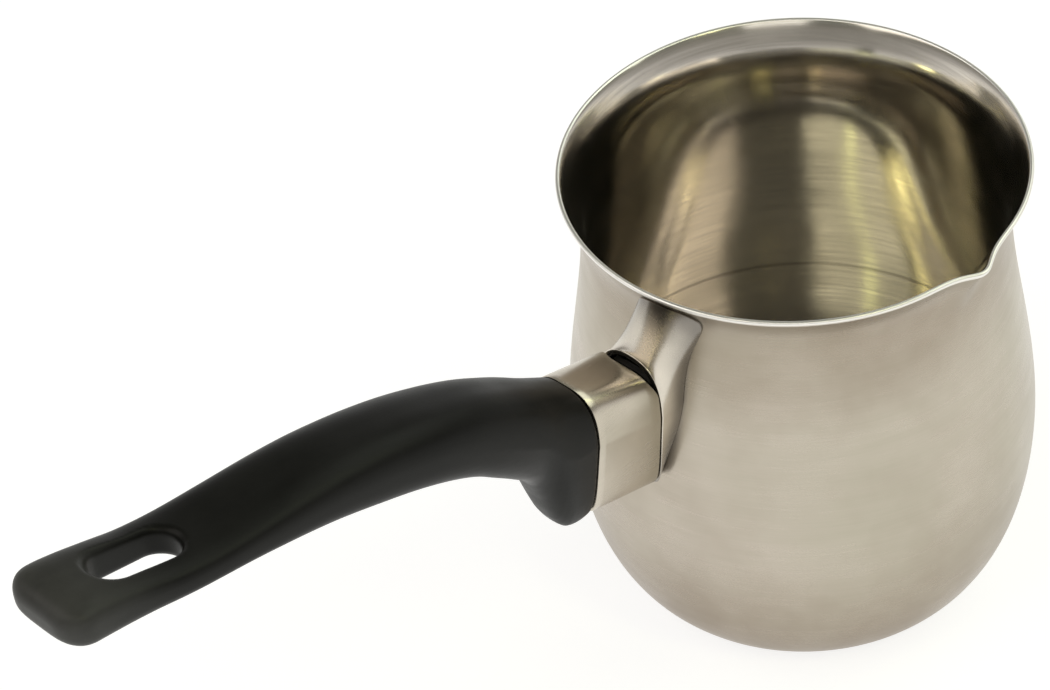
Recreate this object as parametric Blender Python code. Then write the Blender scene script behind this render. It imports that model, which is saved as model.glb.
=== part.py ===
"""Candle melting pot: a drawn steel jug with one pouring lip and a screwed-on phenolic side handle.

Frame: metres, +Z up, origin at the centre of the flat base. The handle runs along +X and the
pouring lip points along +Y. Lengths below are in millimetres until mesh_object() scales them.
"""

import math

import bmesh
import bpy
from mathutils import Vector

MM = 0.001
GAP = 0.3  # clearance kept between pieces that touch on the real pot

# ---- pot body: outer profile as radius, height ----
HEIGHT = 105.0
RIM_R = 48.0
BELLY_R = 49.6
BELLY_Z = 40.0
NECK_R = 44.0
NECK_Z = 92.0
BASE_R = 33.0
WALL = 0.8
BODY_TURNS = 48
LIP_FLARE_R = 45.3  # handle of the curve that throws the lip outwards
LIP_FLARE_Z = 101.2

# ---- pouring lip, pressed into the rim at +Y ----
SPOUT_ANGLE = math.radians(89)
SPOUT_REACH = 4.1  # outward push of the beak
SPOUT_DENT = 1.4  # the rim is drawn in on both sides of the beak
SPOUT_SHARP = 3.6  # how quickly the beak falls away, along the rim
SPOUT_TIP_ROUND = 1.2
SPOUT_DENT_WIDTH = 12.0
SPOUT_DROP = 0.9  # the beak's tip sits this much lower than the rim
SPOUT_FOOT_Z = 89.0

# ---- handle joint planes ----
MOUTH_X = 50.5  # open end of the welded bracket
FERRULE_X0 = 50.9
FERRULE_X1 = 68.2
GRIP_X0 = 68.5
GRIP_X1 = 192.8

# ---- bracket ----
BRACKET_WALL = 1.2
FOOT_LIFT = 0.9  # thickness of the flared edge that lies along the body

# ---- ferrule ----
FERRULE_WALL = 0.8
FERRULE_SCALLOP = 1.6  # the sleeve is cut back this much over its crown, at the bracket

# ---- handle fastening: a tongue in the bracket, and a screw up into it from under the ferrule ----
SCREW_X = 59.5
SCREW_R = 2.0
SCREW_LENGTH = 16.0
SCREW_HOLE_R = 2.3
HEAD_R = 3.8
HEAD_H = 2.9
RECESS_R = 4.4
SEAT_Z = 67.0
BORE_TOP_Z = 81.0
WASHER_R = 4.0
WASHER_T = 1.0
SPRING_T = 1.2
FLANGE_X0 = 48.1
FLANGE_X1 = 50.5
FLANGE_HALF_W = 5.3
FLANGE_Z0 = 63.0
FLANGE_Z1 = 84.5
TONGUE_X1 = 67.0
TONGUE_HALF_W = 5.0
TONGUE_Z = 76.5
TONGUE_HALF_H = 1.5

# ---- hanging slot in the grip ----
SLOT_X0 = 162.4
SLOT_X1 = 180.6
SLOT_HALF_W = 4.3

SECTION_POINTS = 36


# ---------------------------------------------------------------- curves


def bezier(p0, p1, p2, p3, steps):
    """Points of a cubic Bezier curve, without its first point."""
    points = []
    for i in range(1, steps + 1):
        t = i / steps
        s = 1 - t
        weights = (s**3, 3 * s * s * t, 3 * s * t * t, t**3)
        points.append(
            tuple(sum(w * p[k] for w, p in zip(weights, (p0, p1, p2, p3))) for k in (0, 1))
        )
    return points


def smooth_step(t):
    t = min(max(t, 0.0), 1.0)
    return t * t * (3 - 2 * t)


def through(knots, x):
    """Smooth curve through knots of (x, value), flat beyond both ends and free of overshoot."""
    if x <= knots[0][0]:
        return knots[0][1]
    if x >= knots[-1][0]:
        return knots[-1][1]
    slopes = [(b[1] - a[1]) / (b[0] - a[0]) for a, b in zip(knots, knots[1:])]
    tangents = [slopes[0]]
    for left, right in zip(slopes, slopes[1:]):
        same_way = left * right > 0
        tangents.append(2 * left * right / (left + right) if same_way else 0.0)
    tangents.append(slopes[-1])
    for i, (a, b) in enumerate(zip(knots, knots[1:])):
        if x <= b[0]:
            span = b[0] - a[0]
            t = (x - a[0]) / span
            return (
                (1 + 2 * t) * (1 - t) ** 2 * a[1]
                + t * (1 - t) ** 2 * span * tangents[i]
                + t * t * (3 - 2 * t) * b[1]
                + t * t * (t - 1) * span * tangents[i + 1]
            )


def outer_profile():
    """Outer wall of the body from the edge of the flat base up to the rim."""
    base, belly = (BASE_R, 0.0), (BELLY_R, BELLY_Z)
    neck, rim = (NECK_R, NECK_Z), (RIM_R, HEIGHT)
    points = [base]
    points += bezier(base, (BASE_R + 9, 0.0), (BELLY_R, BELLY_Z - 24), belly, 7)
    points += bezier(belly, (BELLY_R, BELLY_Z + 18), (NECK_R, NECK_Z - 15), neck, 5)
    points += bezier(neck, (NECK_R, NECK_Z + 6), (LIP_FLARE_R, LIP_FLARE_Z), rim, 5)
    return points


def offset_inwards(profile, distance):
    """The same profile moved towards the pot's axis, square to itself."""
    moved = []
    for i, (r, z) in enumerate(profile):
        before, after = profile[max(i - 1, 0)], profile[min(i + 1, len(profile) - 1)]
        dr, dz = after[0] - before[0], after[1] - before[1]
        length = math.hypot(dr, dz)
        moved.append((r - dz / length * distance, z + dr / length * distance))
    return moved


def body_radius(z):
    """Outer radius of the plain body wall at a height, ignoring the pouring lip."""
    profile = outer_profile()
    for (r0, z0), (r1, z1) in zip(profile, profile[1:]):
        if z0 <= z <= z1 and z1 > z0:
            return r0 + (r1 - r0) * (z - z0) / (z1 - z0)
    return RIM_R


def superellipse(half, top, middle, bottom, power_up, power_low, taper, count=SECTION_POINTS):
    """Closed section as (y, z) points, anticlockwise seen from +X. It is widest at middle height,
    and taper is the share of its width that it loses by the bottom."""
    loop = []
    for i in range(count):
        angle = 2 * math.pi * i / count
        c, s = math.cos(angle), math.sin(angle)
        power = power_up if s >= 0 else power_low
        y = half * math.copysign(abs(c) ** (2 / power), c)
        rise = abs(s) ** (2 / power)
        if s >= 0:
            z = middle + (top - middle) * rise
        else:
            z = middle - (middle - bottom) * rise
            y *= 1 - taper * rise
        loop.append((y, z))
    return loop


# ---------------------------------------------------------------- meshes


def material(name, colour, metallic, roughness):
    made = bpy.data.materials.new(name)
    made.use_nodes = True
    shader = made.node_tree.nodes["Principled BSDF"]
    shader.inputs["Base Color"].default_value = (*colour, 1.0)
    shader.inputs["Metallic"].default_value = metallic
    shader.inputs["Roughness"].default_value = roughness
    made.diffuse_color = (*colour, 1.0)
    return made


def mesh_object(name, bm, surface, smooth_angle=35):
    """Turns a bmesh in millimetres into a closed, outward-facing object in metres."""
    bmesh.ops.remove_doubles(bm, verts=bm.verts, dist=1e-5)
    bmesh.ops.recalc_face_normals(bm, faces=bm.faces)
    bmesh.ops.scale(bm, vec=(MM, MM, MM), verts=bm.verts)
    mesh = bpy.data.meshes.new(name)
    bm.to_mesh(mesh)
    bm.free()
    mesh.materials.append(surface)
    mesh.shade_smooth()
    mesh.set_sharp_from_angle(angle=math.radians(smooth_angle))
    made = bpy.data.objects.new(name, mesh)
    bpy.context.scene.collection.objects.link(made)
    return made


def skin(bm, rings, close=False):
    """Joins rings of equal length with quads. With close, the last ring meets the first;
    otherwise both end rings are capped."""
    loops = [[bm.verts.new(point) for point in ring] for ring in rings]
    pairs = list(zip(loops, loops[1:])) + ([(loops[-1], loops[0])] if close else [])
    for low, high in pairs:
        count = len(low)
        for i in range(count):
            j = (i + 1) % count
            bm.faces.new((low[i], low[j], high[j], high[i]))
    if not close:
        bm.faces.new(loops[0])
        bm.faces.new(loops[-1])


def along_x(points_yz, x):
    return [(x, y, z) for y, z in points_yz]


def turned(profile, count):
    """Rings of a shape turned about the screw's upright axis, from (height, radius) points."""
    rings = []
    for z, radius in profile:
        ring = []
        for i in range(count):
            angle = 2 * math.pi * i / count
            ring.append((SCREW_X + radius * math.cos(angle), radius * math.sin(angle), z))
        rings.append(ring)
    return rings


def cut(target, cutter):
    """Takes the cutter out of the target, and keeps the cutter hidden as a guide."""
    cutter.hide_render = True
    cutter.display_type = "WIRE"
    boolean = target.modifiers.new("cut_" + cutter.name, "BOOLEAN")
    boolean.operation = "DIFFERENCE"
    boolean.object = cutter


# ---------------------------------------------------------------- pot body


def body_angles():
    """Angles round the body: even, with extra ones where the beak bends the rim."""
    plain = [2 * math.pi * i / BODY_TURNS for i in range(BODY_TURNS)]
    half_span = math.radians(24)
    kept = [a for a in plain if abs(a - SPOUT_ANGLE) > half_span]
    fine_steps = 16
    fine = [
        SPOUT_ANGLE + half_span * (2 * i / fine_steps - 1) for i in range(fine_steps + 1)
    ]
    return sorted(kept + fine)


def spout_shift(angle, z):
    """Outward and downward move of the wall that forms the beak."""
    along = RIM_R * (angle - SPOUT_ANGLE)
    rounded = math.hypot(along, SPOUT_TIP_ROUND) - SPOUT_TIP_ROUND
    beak = SPOUT_REACH * math.exp(-rounded / SPOUT_SHARP)
    dent = SPOUT_DENT * math.exp(-((along / SPOUT_DENT_WIDTH) ** 2))
    share = smooth_step((z - SPOUT_FOOT_Z) / (HEIGHT - SPOUT_FOOT_Z))
    return share * (beak - dent), share * SPOUT_DROP * beak / SPOUT_REACH


def body_ring(radius, z, angles):
    ring = []
    for angle in angles:
        out, down = spout_shift(angle, z)
        r = radius + out
        ring.append((r * math.cos(angle), r * math.sin(angle), z - down))
    return ring


def rim_edge(outer, inner):
    """Rounded edge from the top of the outer wall over to the top of the inner wall."""
    middle = [(a + b) / 2 for a, b in zip(outer, inner)]
    across = [(a - b) / 2 for a, b in zip(outer, inner)]
    up = (-across[1], across[0])
    points = []
    for degrees in (45, 90, 135):
        c, s = math.cos(math.radians(degrees)), math.sin(math.radians(degrees))
        points.append(tuple(middle[k] + across[k] * c + up[k] * s for k in (0, 1)))
    return points


def pot_body(steel):
    angles = body_angles()
    outer = outer_profile()
    inner = offset_inwards(outer, WALL)
    profile = outer + rim_edge(outer[-1], inner[-1]) + inner[::-1]
    bm = bmesh.new()
    skin(bm, [body_ring(r, z, angles) for r, z in profile])
    return mesh_object("pot_body", bm, steel)


# ---------------------------------------------------------------- bracket, ferrule and tenon


def sleeve_section(x, inset=0.0):
    """Outer section of the ferrule, grown evenly from the bracket to the grip."""
    share = (x - MOUTH_X) / (GRIP_X0 - MOUTH_X)
    half = 8.4 + 0.2 * share - inset
    top = 87.6 + 6.8 * share - inset
    middle = 77.0 + 6.0 * share
    bottom = 56.8 + 4.8 * share + inset
    return superellipse(half, top, middle, bottom, 3.5 - 0.5 * share, 7.0, 0.24 + 0.12 * share)


def mouth_section(inset):
    """Open end of the bracket: a little prouder and rounder on top than the ferrule."""
    return superellipse(8.7 - inset, 89.6 - inset, 77.0, 56.4 + inset, 2.7, 7.0, 0.24)


def foot_section():
    """Edge of the bracket where it lies on the body: splayed out and up towards the rim."""
    loop = []
    for y, z in mouth_section(0.0):
        low = smooth_step((z - 58.0) / 15.0)
        high = smooth_step((z - 79.0) / 10.6)
        loop.append((y * (1.0 + 0.14 * low + 0.34 * high), z + 12.8 * high))
    return loop


def on_body(y, z, lift):
    """Distance along +X of the body's surface at (y, z), raised by lift."""
    return math.sqrt((body_radius(z) + lift) ** 2 - y * y)


def flare_ring(mouth, foot, foot_lift, turn):
    """One ring of the bracket's trumpet. turn goes from 0 at the mouth to 90 degrees at the foot."""
    ring = []
    for (ym, zm), (yf, zf) in zip(mouth, foot):
        spread = 1 - math.cos(turn)
        x = MOUTH_X + (on_body(yf, zf, foot_lift) - MOUTH_X) * math.sin(turn)
        ring.append((x, ym + (yf - ym) * spread, zm + (zf - zm) * spread))
    return ring


def handle_bracket(steel):
    mouth, foot = mouth_section(0.0), foot_section()
    inner_mouth = mouth_section(BRACKET_WALL)
    inner_foot = [
        (yi + 0.55 * (yf - ym), zi + 0.55 * (zf - zm))
        for (ym, zm), (yf, zf), (yi, zi) in zip(mouth, foot, inner_mouth)
    ]
    steps = 6
    turns = [math.radians(90) * i / steps for i in range(steps + 1)]
    outer = [flare_ring(mouth, foot, GAP + FOOT_LIFT, t) for t in turns]
    edge = [[(on_body(y, z, GAP), y, z) for y, z in foot]]
    inner = [flare_ring(inner_mouth, inner_foot, GAP, t) for t in reversed(turns)]
    bm = bmesh.new()
    skin(bm, outer + edge + inner, close=True)
    return mesh_object("handle_bracket", bm, steel)


def scalloped(x, inset=0.0):
    """Ring at the ferrule's bracket end, cut back over the crown."""
    points = sleeve_section(x, inset)
    crown = max(z for _, z in points)
    shoulder = crown - 5.0
    ring = []
    for i, (_, z) in enumerate(points):
        back = x + FERRULE_SCALLOP * smooth_step((z - shoulder) / (crown - shoulder))
        ring.append((back, *sleeve_section(back, inset)[i]))
    return ring


def ferrule(steel):
    stations = [FERRULE_X0 + (FERRULE_X1 - FERRULE_X0) * i / 3 for i in range(4)]
    outer = [along_x(sleeve_section(x), x) for x in stations]
    inner = [along_x(sleeve_section(x, FERRULE_WALL), x) for x in reversed(stations)]
    outer[0] = scalloped(stations[0])
    inner[-1] = scalloped(stations[0], FERRULE_WALL)
    bm = bmesh.new()
    skin(bm, outer + inner, close=True)
    made = mesh_object("ferrule", bm, steel)
    hole = bmesh.new()
    skin(hole, turned([(50.0, RECESS_R), (SEAT_Z, RECESS_R)], 32))
    cut(made, mesh_object("ferrule_hole_cutter", hole, steel))
    return made


def bracket_tongue(steel):
    """Flange inside the bracket's mouth with a tongue that reaches into the grip's tenon. The
    screw goes through the tongue."""
    def block(half_w, z0, z1, x):
        return [(x, -half_w, z0), (x, half_w, z0), (x, half_w, z1), (x, -half_w, z1)]

    tongue = (TONGUE_HALF_W, TONGUE_Z - TONGUE_HALF_H, TONGUE_Z + TONGUE_HALF_H)
    flange = (FLANGE_HALF_W, FLANGE_Z0, FLANGE_Z1)
    rings = [block(*flange, FLANGE_X0), block(*flange, FLANGE_X1)]
    rings += [block(*tongue, FLANGE_X1), block(*tongue, TONGUE_X1)]
    bm = bmesh.new()
    skin(bm, rings)
    made = mesh_object("bracket_tongue", bm, steel)
    bore = bmesh.new()
    skin(bore, turned([(SEAT_Z, SCREW_HOLE_R), (BORE_TOP_Z, SCREW_HOLE_R)], 24))
    cut(made, mesh_object("tongue_bore_cutter", bore, steel))
    return made


# ---------------------------------------------------------------- grip

GRIP_TOP = [
    (68.5, 94.6),
    (75, 98.8),
    (82.4, 103.7),
    (92, 109.8),
    (102, 114.7),
    (111, 118.5),
    (121, 121.8),
    (130.5, 124.0),
    (140, 125.4),
    (149.5, 126.4),
    (159, 127.6),
    (168, 129.6),
    (176, 132.5),
    (182, 134.6),
    (187, 135.9),
    (192.8, 136.5),
]
GRIP_BOTTOM = [
    (68.5, 62.2),
    (71.5, 60.9),
    (74.2, 61.8),
    (77.0, 65.2),
    (79.8, 70.8),
    (82.8, 78.6),
    (87.2, 85.4),
    (93, 91.6),
    (99, 96.3),
    (106.6, 101.0),
    (114.6, 105.0),
    (124, 108.9),
    (134, 112.8),
    (143, 115.7),
    (154, 118.8),
    (165.5, 121.4),
    (176, 124.1),
    (187, 126.4),
    (192.8, 127.6),
]
GRIP_HALF_WIDTH = [(68.5, 8.7), (85, 9.2), (110, 9.8), (150, 9.6), (175, 9.5), (192.8, 9.7)]
GRIP_MIDDLE = [(68.5, 0.66), (90, 0.52), (192.8, 0.5)]  # widest level, as a share of the depth
GRIP_POWER_UP = [(68.5, 2.7), (110, 2.8), (150, 3.2), (192.8, 3.8)]
GRIP_POWER_LOW = [(68.5, 4.5), (84, 3.4), (110, 3.2), (192.8, 3.4)]
GRIP_TAPER = [(68.5, 0.36), (80, 0.32), (96, 0.06), (110, 0.0), (192.8, 0.0)]
END_CORNER = 5.6  # radius of the grip's end in plan
END_EDGE = 3.4  # rounding of the grip's end from top to bottom


def grip_section(x):
    top, bottom = through(GRIP_TOP, x), through(GRIP_BOTTOM, x)
    half = through(GRIP_HALF_WIDTH, x)
    into_corner = x - (GRIP_X1 - END_CORNER)
    if into_corner > 0:
        half -= END_CORNER - math.sqrt(max(END_CORNER**2 - into_corner**2, 0.0))
    into_edge = x - (GRIP_X1 - END_EDGE)
    if into_edge > 0:
        rounding = 0.8 * (END_EDGE - math.sqrt(max(END_EDGE**2 - into_edge**2, 0.0)))
        top -= rounding
        bottom += rounding
    middle = bottom + (top - bottom) * through(GRIP_MIDDLE, x)
    return superellipse(
        half,
        top,
        middle,
        bottom,
        through(GRIP_POWER_UP, x),
        through(GRIP_POWER_LOW, x),
        through(GRIP_TAPER, x),
    )


def grip_stations():
    front = [GRIP_X0 + 0.6, 71.5, 74, 76.5, 78.5, 80.5, 82.5, 84.5, 87, 90, 94, 98.5, 104, 111, 119]
    shank = [128, 138, 148, 156, 164, 171, 177, 182.5, 186]
    end = [GRIP_X1 - END_CORNER * (1 - math.sin(math.radians(a))) for a in (10, 30, 48, 64, 78, 90)]
    return front + shank + end


def shrunk(points, amount):
    """A section pulled in towards its centre by about amount on every side."""
    ys, zs = [y for y, _ in points], [z for _, z in points]
    mid_z = (max(zs) + min(zs)) / 2
    scale_y = 1 - amount / max(ys)
    scale_z = 1 - amount / ((max(zs) - min(zs)) / 2)
    return [(y * scale_y, mid_z + (z - mid_z) * scale_z) for y, z in points]


def grip(plastic):
    """Grip and tenon in one moulding. The tenon fills the ferrule and butts against the flange."""
    tenon_x = FLANGE_X1 + GAP
    tenon_inset = FERRULE_WALL + GAP
    rings = [along_x(sleeve_section(x, tenon_inset), x) for x in (tenon_x, GRIP_X0)]
    rings.append(along_x(shrunk(grip_section(GRIP_X0), 0.6), GRIP_X0))
    rings += [along_x(grip_section(x), x) for x in grip_stations()]
    bm = bmesh.new()
    skin(bm, rings)
    made = mesh_object("grip", bm, plastic)

    socket = bmesh.new()
    half_w, half_h = TONGUE_HALF_W + GAP, TONGUE_HALF_H + GAP
    rectangle = [(-half_w, -half_h), (half_w, -half_h), (half_w, half_h), (-half_w, half_h)]
    ends = (tenon_x - 2, TONGUE_X1 + GAP)
    skin(socket, [[(x, y, TONGUE_Z + z) for y, z in rectangle] for x in ends])
    cut(made, mesh_object("tongue_socket_cutter", socket, plastic))

    bore = bmesh.new()
    steps = [(50.0, RECESS_R), (SEAT_Z, RECESS_R), (SEAT_Z, SCREW_HOLE_R), (BORE_TOP_Z, SCREW_HOLE_R)]
    skin(bore, turned(steps, 32))
    cut(made, mesh_object("screw_bore_cutter", bore, plastic))
    cut(made, hanging_slot_cutter(plastic))
    return made


def slot_outline(grow):
    """Slot seen from above: two straight sides and two half circles."""
    radius = SLOT_HALF_W
    points = []
    for centre, start in ((SLOT_X1 - radius, -90), (SLOT_X0 + radius, 90)):
        for i in range(9):
            angle = math.radians(start + 180 * i / 8)
            reach = radius + grow
            points.append((centre + reach * math.cos(angle), reach * math.sin(angle)))
    return points


def hanging_slot_cutter(plastic):
    """Upright slot whose mouths widen where they meet the grip's sloping faces."""
    slope_top, slope_low = 0.33, 0.24
    centre = (SLOT_X0 + SLOT_X1) / 2
    top, bottom = through(GRIP_TOP, centre), through(GRIP_BOTTOM, centre)
    levels = [
        (bottom - 6, 4.0, slope_low),
        (bottom + 0.3, 1.0, slope_low),
        (bottom + 1.6, 0.0, slope_low),
        (top - 2.2, 0.0, slope_top),
        (top - 0.4, 1.3, slope_top),
        (top + 6, 6.0, slope_top),
    ]
    bm = bmesh.new()
    skin(
        bm,
        [
            [(x, y, z + slope * (x - centre)) for x, y in slot_outline(grow)]
            for z, grow, slope in levels
        ],
    )
    return mesh_object("hanging_slot_cutter", bm, plastic)


# ---------------------------------------------------------------- fasteners


def handle_screw(steel):
    """Pan-head cross-recess screw, M4. Its head faces down."""
    bearing_z = SEAT_Z - WASHER_T - SPRING_T - 3 * GAP
    head_z = bearing_z - HEAD_H
    profile = [
        (head_z, HEAD_R - 2.0),
        (head_z + 0.5, HEAD_R - 0.9),
        (head_z + 1.4, HEAD_R),
        (bearing_z, HEAD_R),
        (bearing_z, SCREW_R),
        (bearing_z + SCREW_LENGTH - 0.7, SCREW_R),
        (bearing_z + SCREW_LENGTH, SCREW_R - 0.7),
    ]
    bm = bmesh.new()
    skin(bm, turned(profile, 24))
    screw = mesh_object("handle_screw", bm, steel)
    recess = bmesh.new()
    arm, half = 2.0, 0.5
    corners = [
        (arm, half), (half, half), (half, arm), (-half, arm), (-half, half), (-arm, half),
        (-arm, -half), (-half, -half), (-half, -arm), (half, -arm), (half, -half), (arm, -half),
    ]
    skin(recess, [[(SCREW_X + x, y, z) for x, y in corners] for z in (head_z - 1, head_z + 1.9)])
    cut(screw, mesh_object("cross_recess_cutter", recess, steel))
    return screw


def washer_ring(inner_r, outer_r, z0, thickness, start, stop, count):
    """Flat ring of rectangular section between two angles, or a whole ring if they meet."""
    whole = abs(stop - start - 2 * math.pi) < 1e-6
    steps = count if whole else count + 1
    corners = (
        (z0, inner_r), (z0 + thickness, inner_r), (z0 + thickness, outer_r), (z0, outer_r),
    )
    rings = []
    for i in range(steps):
        angle = start + (stop - start) * i / count
        c, s = math.cos(angle), math.sin(angle)
        rings.append([(SCREW_X + r * c, r * s, z) for z, r in corners])
    bm = bmesh.new()
    skin(bm, rings, close=whole)
    return bm


def flat_washer(steel):
    bm = washer_ring(2.4, WASHER_R, SEAT_Z - GAP - WASHER_T, WASHER_T, 0, 2 * math.pi, 24)
    return mesh_object("flat_washer", bm, steel)


def spring_washer(steel):
    """Split lock washer; its gap faces along the handle."""
    z0 = SEAT_Z - WASHER_T - SPRING_T - 2 * GAP
    start, stop = math.radians(8), math.radians(8 + 344)
    bm = washer_ring(2.4, 3.8, z0, SPRING_T, start, stop, 22)
    return mesh_object("spring_washer", bm, steel)


# ---------------------------------------------------------------- assembly


def main():
    for old in list(bpy.data.objects):
        bpy.data.objects.remove(old)
    brushed = material("brushed_steel", (0.62, 0.59, 0.54), 1.0, 0.3)
    plain_steel = material("plain_steel", (0.50, 0.49, 0.47), 1.0, 0.4)
    zinc = material("zinc_plated_steel", (0.66, 0.66, 0.64), 1.0, 0.35)
    phenolic = material("black_phenolic", (0.018, 0.018, 0.017), 0.0, 0.42)
    pot_body(brushed)
    handle_bracket(brushed)
    bracket_tongue(plain_steel)
    ferrule(brushed)
    grip(phenolic)
    handle_screw(zinc)
    spring_washer(zinc)
    flat_washer(zinc)


main()
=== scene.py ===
"""Looks of the candle melting pot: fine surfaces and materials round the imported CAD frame.

Frame: metres, +Z up, origin at the centre of the flat base, handle along +X, pouring lip along +Y.
Lengths are in millimetres until mesh_object() scales them.
"""

import math

import bmesh
import bpy
from mathutils import Matrix, Vector


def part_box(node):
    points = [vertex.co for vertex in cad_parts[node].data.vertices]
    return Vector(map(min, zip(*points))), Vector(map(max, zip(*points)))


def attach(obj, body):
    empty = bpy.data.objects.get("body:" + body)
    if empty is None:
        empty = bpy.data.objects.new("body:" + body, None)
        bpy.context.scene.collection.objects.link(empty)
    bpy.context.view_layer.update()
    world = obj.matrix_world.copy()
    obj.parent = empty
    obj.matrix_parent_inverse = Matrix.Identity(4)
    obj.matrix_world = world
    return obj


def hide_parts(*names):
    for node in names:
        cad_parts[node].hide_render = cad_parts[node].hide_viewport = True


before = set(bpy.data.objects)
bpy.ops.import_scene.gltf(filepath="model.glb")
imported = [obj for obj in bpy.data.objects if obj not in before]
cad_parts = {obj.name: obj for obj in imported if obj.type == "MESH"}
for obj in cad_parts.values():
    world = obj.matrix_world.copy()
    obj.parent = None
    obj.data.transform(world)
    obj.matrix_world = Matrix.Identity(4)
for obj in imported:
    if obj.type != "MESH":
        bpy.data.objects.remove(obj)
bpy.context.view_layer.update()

MM = 0.001


def cad_span(node, axis):
    """Where a CAD node begins and ends along an axis (0 for X, 2 for Z), in millimetres."""
    low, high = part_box(node)
    return low[axis] / MM, high[axis] / MM


# ---- planes and centres read from the frame ----
FERRULE_X0, FERRULE_X1 = cad_span("ferrule", 0)
TENON_X, GRIP_X1 = cad_span("grip", 0)
TONGUE_X1 = cad_span("bracket_tongue", 0)[1]
MOUTH_X = cad_span("handle_bracket", 0)[1]
SCREW_HEAD_Z, SCREW_TIP_Z = cad_span("handle_screw", 2)
SPRING_Z0, SPRING_Z1 = cad_span("spring_washer", 2)
WASHER_Z0, WASHER_Z1 = cad_span("flat_washer", 2)
SCREW_X = sum(cad_span("flat_washer", 0)) / 2
GAP = 0.3  # clearance that the CAD leaves between two pieces
GRIP_X0 = FERRULE_X1 + GAP
SEAT_Z = WASHER_Z1 + GAP

# ---- pot body ----
HEIGHT = 105.0
RIM_R = 48.0
BELLY_R = 49.6
BELLY_Z = 40.0
NECK_R = 44.0
NECK_Z = 92.0
BASE_R = 33.0
WALL = 0.8
RIM_WALL = 1.0  # the rim's edge is a little thicker than the wall
RIM_BLEND = 3.0  # height over which the wall thickens to it
BASE_PULL = 9.0  # reach of the Bezier handles at each knot of the outer wall
BELLY_PULL_LOW, BELLY_PULL_UP = 24.0, 18.0
NECK_PULL_LOW, NECK_PULL_UP = 15.0, 6.0
RIM_PULL_R, RIM_PULL_Z = 45.3, 101.2  # the rim's handle itself
BASE_DISH = 0.4  # the base is pressed up by this, inside its foot ring
DISH_RADII = (0.0, 0.4, 1.2, 3.0, 6.0, 10.0, 14.0, 18.0, 22.0, 25.0)
DISH_EDGE_R = 26.0
FOOT_RING_R = 29.0
DRAW_LINE_Z = 35.6  # faint ring that the press left inside

# ---- pouring lip ----
SPOUT_ANGLE = math.radians(89)
SPOUT_HALF_SPAN = math.radians(24)  # part of the body on either side that gets the finer mesh
SPOUT_REACH = 3.4
SPOUT_SHARP = 3.6  # the beak fades over this length along the rim
SPOUT_TIP_ROUND = 2.8
SPOUT_DENT = 1.4  # the rim is drawn in by this beside the beak
SPOUT_DENT_WIDTH = 12.0
SPOUT_DROP = 0.9
SPOUT_FOOT_Z = 89.0

# ---- bracket and ferrule ----
BRACKET_WALL = 1.2
BRACKET_LIP_ROUND = 0.16
MOUTH_HALF_W = 8.5
MOUTH_TOP, MOUTH_MIDDLE, MOUTH_BOTTOM = 89.6, 77.0, 56.4
MOUTH_POWER_UP = 2.7
MOUTH_TAPER = 0.24
SHOULDER_DROP = 0.75  # the mouth's shoulder away from the lip is let down by this
FOOT_GAP = 0.1  # the CAD gap to the body, closed to what a weld would leave
FOOT_LIFT = 0.35  # height of the foot's edge off the body
FOOT_LEAN = 4.5  # the foot's upper end is set over towards the lip
FOOT_RISE = 14.0  # and reaches this far above the mouth's
FOOT_WIDTH_LOW = 0.74  # the foot's width at its lower end, as a share of the mouth's
FOOT_WIDTH_GAIN = 0.27  # and what it gains by half height
FOOT_SPLAY_NEAR, FOOT_SPLAY_FAR = 0.75, -0.15  # and at its upper end, towards the lip and away
FLARE_FULLNESS = 0.7
FLARE_TIGHTNESS = 1.5
INNER_FOOT_SHARE = 0.55  # how much of the outer flare the inside of the bracket follows
FERRULE_WALL = 0.8
FERRULE_SCALLOP = 1.6
SCALLOP_DEPTH = 5.0
# Half width, top, widest level, bottom, power of the upper half and taper of the ferrule's outer
# section at the bracket, and how much each of them grows on the way to the grip
SLEEVE_START = (8.4, 87.6, 77.0, 56.8, 4.4, 0.24)
SLEEVE_GROWTH = (0.2, 6.8, 6.0, 4.8, -1.4, 0.12)
SLEEVE_POWER_LOW = 7.0

# ---- painted shade, as shares of the material's shade colour ----
# The lower belly and the neck get painted shade, the bracket a painted dark reflection near the
# body, and the ferrule painted shade at its bracket end.
BASE_SHADE_TOP = 52.0
NECK_SHADE, NECK_SHADE_Z0, NECK_SHADE_Z1 = 0.62, 66.0, 98.0
BRACKET_SHADE, BRACKET_SHADE_NEAR, BRACKET_SHADE_FAR = 0.9, 0.5, 5.9  # the last two are away from the body
FERRULE_SHADE, FERRULE_SHADE_REACH = 0.45, 7.5

# ---- fastening ----
SCREW_R = 2.0
THREAD_PITCH = 0.7
THREAD_DEPTH = 0.38
SCREW_HOLE_R = 2.3
HEAD_R = 3.8
HEAD_H = 2.9
CROSS_ARM, CROSS_HALF_W = 2.0, 0.5
WASHER_HOLE_R = 2.4
FLAT_WASHER_R = 4.0
SPRING_WASHER_R = 3.8
SPRING_WASHER_RISE = 0.2
RECESS_R = 4.4
BORE_FOOT_Z = 50.0  # below the ferrule, where the cutters of the screw's bore start
BORE_TOP_Z = SCREW_TIP_Z + 1.1
TONGUE_HALF_W = 5.0
TONGUE_Z = 76.5
TONGUE_HALF_H = 1.5

# ---- hanging slot ----
SLOT_X0 = 162.4
SLOT_X1 = 180.6
SLOT_HALF_W = 4.3
SLOT_SLOPE_TOP, SLOT_SLOPE_LOW = 0.33, 0.24  # slopes of the grip's faces at the slot
SLOT_EDGE_DEPTH, SLOT_EDGE_RISE, SLOT_EDGE_WIDTH = 1.5, 1.6, 1.1  # rounding of its upper mouth

# ---- meshing ----
SECTION_POINTS = 120
GRIP_VOXEL = 0.35
GRIP_SMOOTHING, GRIP_SMOOTHING_PASSES = 0.5, 5

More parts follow.
